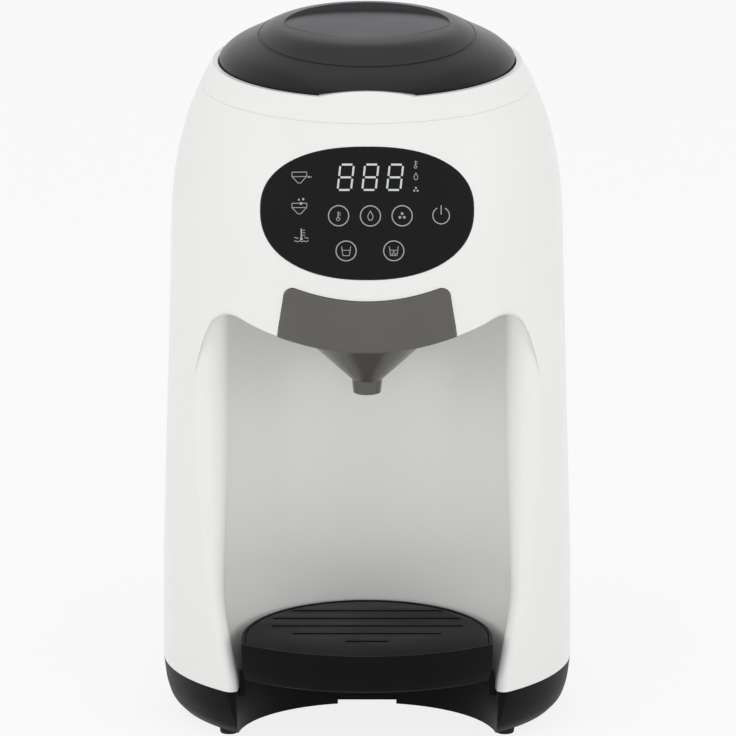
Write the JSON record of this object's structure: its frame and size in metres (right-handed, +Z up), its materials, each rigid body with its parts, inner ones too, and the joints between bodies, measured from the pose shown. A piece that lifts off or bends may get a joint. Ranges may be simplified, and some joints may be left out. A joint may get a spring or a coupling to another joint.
{
  "type": "automatic formula maker",
  "caption": "Countertop machine that doses milk powder and warm water through a pull-out mixing funnel into a vessel standing on its drip tray.",
  "frame": {"origin": "on the standing surface, under the middle of the outline", "axes": "+Z up, -Y towards the front with the panel and the filling bay, +X to the right seen from the front"},
  "size_m": [0.18, 0.2384, 0.3132],
  "materials": {
    "shell_white": "glossy injection-moulded ABS",
    "lid_graphite": "glossy dark grey ABS",
    "black_plastic": "satin black ABS",
    "panel_black": "polished black touch panel",
    "smoky_plastic": "smoky translucent copolyester",
    "clear_plastic": "clear copolyester",
    "rubber": "soft silicone rubber",
    "nylon": "natural nylon and acetal",
    "steel": "zinc-plated and stainless steel",
    "aluminium": "cast aluminium",
    "circuit_board": "green glass-fibre board",
    "silicone": "translucent silicone hose"
  },
  "bodies": {
    "housing": {"base_pan": "black_plastic", "foot_front_left": "rubber", "foot_front_right": "rubber", "foot_rear_left": "rubber", "foot_rear_right": "rubber", "main_shell": "shell_white", "top_collar": "shell_white", "rear_cover": "shell_white", "mechanism_deck": "nylon", "powder_chute": "nylon", "water_nozzle": "nylon", "dosing_motor": "steel", "control_panel": "panel_black", "display_board": "circuit_board", "display_module": "nylon", "power_board": "circuit_board", "water_pump": "nylon", "heater_tube": "aluminium", "heater_bracket": "steel", "temperature_probe": "steel", "dock_hose": "silicone", "heater_hose": "silicone", "nozzle_hose": "silicone", "tank_dock": "black_plastic", "power_inlet": "black_plastic"},
    "drive_gear": {"drive_gear": "nylon"},
    "motor_pinion": {"motor_pinion": "nylon"},
    "hopper": {"hopper_cup": "clear_plastic", "levelling_plate": "nylon"},
    "dosing_rotor": {"dosing_wheel": "nylon", "stirrer": "nylon"},
    "lid": {"lid": "lid_graphite", "lid_seal": "rubber"},
    "mixing_funnel": {"mixing_funnel": "smoky_plastic"},
    "drip_tray": {"drip_tray": "black_plastic"},
    "tray_cover": {"tray_cover": "black_plastic"},
    "water_tank": {"water_tank": "clear_plastic", "valve_spring": "steel"},
    "tank_flap": {"tank_flap": "black_plastic"},
    "tank_valve": {"tank_valve": "nylon"}
  },
  "joints": [
    {"name": "hopper_lift", "type": "slide", "parent": "housing", "child": "hopper", "axis": [0, 0, 1], "range_m": [0, 0.09]},
    {"name": "lid_lift", "type": "slide", "parent": "hopper", "child": "lid", "axis": [0, 0, 1], "range_m": [0, 0.08]},
    {"name": "wheel_spin", "type": "hinge", "parent": "hopper", "child": "dosing_rotor", "pos_m": [0, -0.02225, 0.234], "axis": [0, 0, 1], "continuous": true},
    {"name": "gear_spin", "type": "hinge", "parent": "housing", "child": "drive_gear", "pos_m": [0, -0.02225, 0.2085], "axis": [0, 0, 1], "continuous": true},
    {"name": "pinion_spin", "type": "hinge", "parent": "housing", "child": "motor_pinion", "pos_m": [0, 0.0013, 0.2085], "axis": [0, 0, 1], "continuous": true},
    {"name": "funnel_pull", "type": "slide", "parent": "housing", "child": "mixing_funnel", "axis": [0, -1, 0], "range_m": [0, 0.1]},
    {"name": "tray_pull", "type": "slide", "parent": "housing", "child": "drip_tray", "axis": [0, -1, 0], "range_m": [0, 0.09]},
    {"name": "tray_cover_lift", "type": "slide", "parent": "drip_tray", "child": "tray_cover", "axis": [0, 0, 1], "range_m": [0, 0.04]},
    {"name": "tank_lift", "type": "slide", "parent": "housing", "child": "water_tank", "axis": [0, 0, 1], "range_m": [0, 0.12]},
    {"name": "flap_hinge", "type": "hinge", "parent": "water_tank", "child": "tank_flap", "pos_m": [0, 0.11415, 0.2437], "axis": [-1, 0, 0], "range_deg": [0, 100]},
    {"name": "valve_lift", "type": "slide", "parent": "water_tank", "child": "tank_valve", "axis": [0, 0, 1], "range_m": [0, 0.003], "stiffness_N_per_m": 200, "springref_m": -0.003, "deforming": ["valve_spring"]}
  ],
  "couplings": [
    {"joint": "gear_spin", "follows": "wheel_spin", "ratio": 1},
    {"joint": "pinion_spin", "follows": "wheel_spin", "ratio": -2}
  ]
}
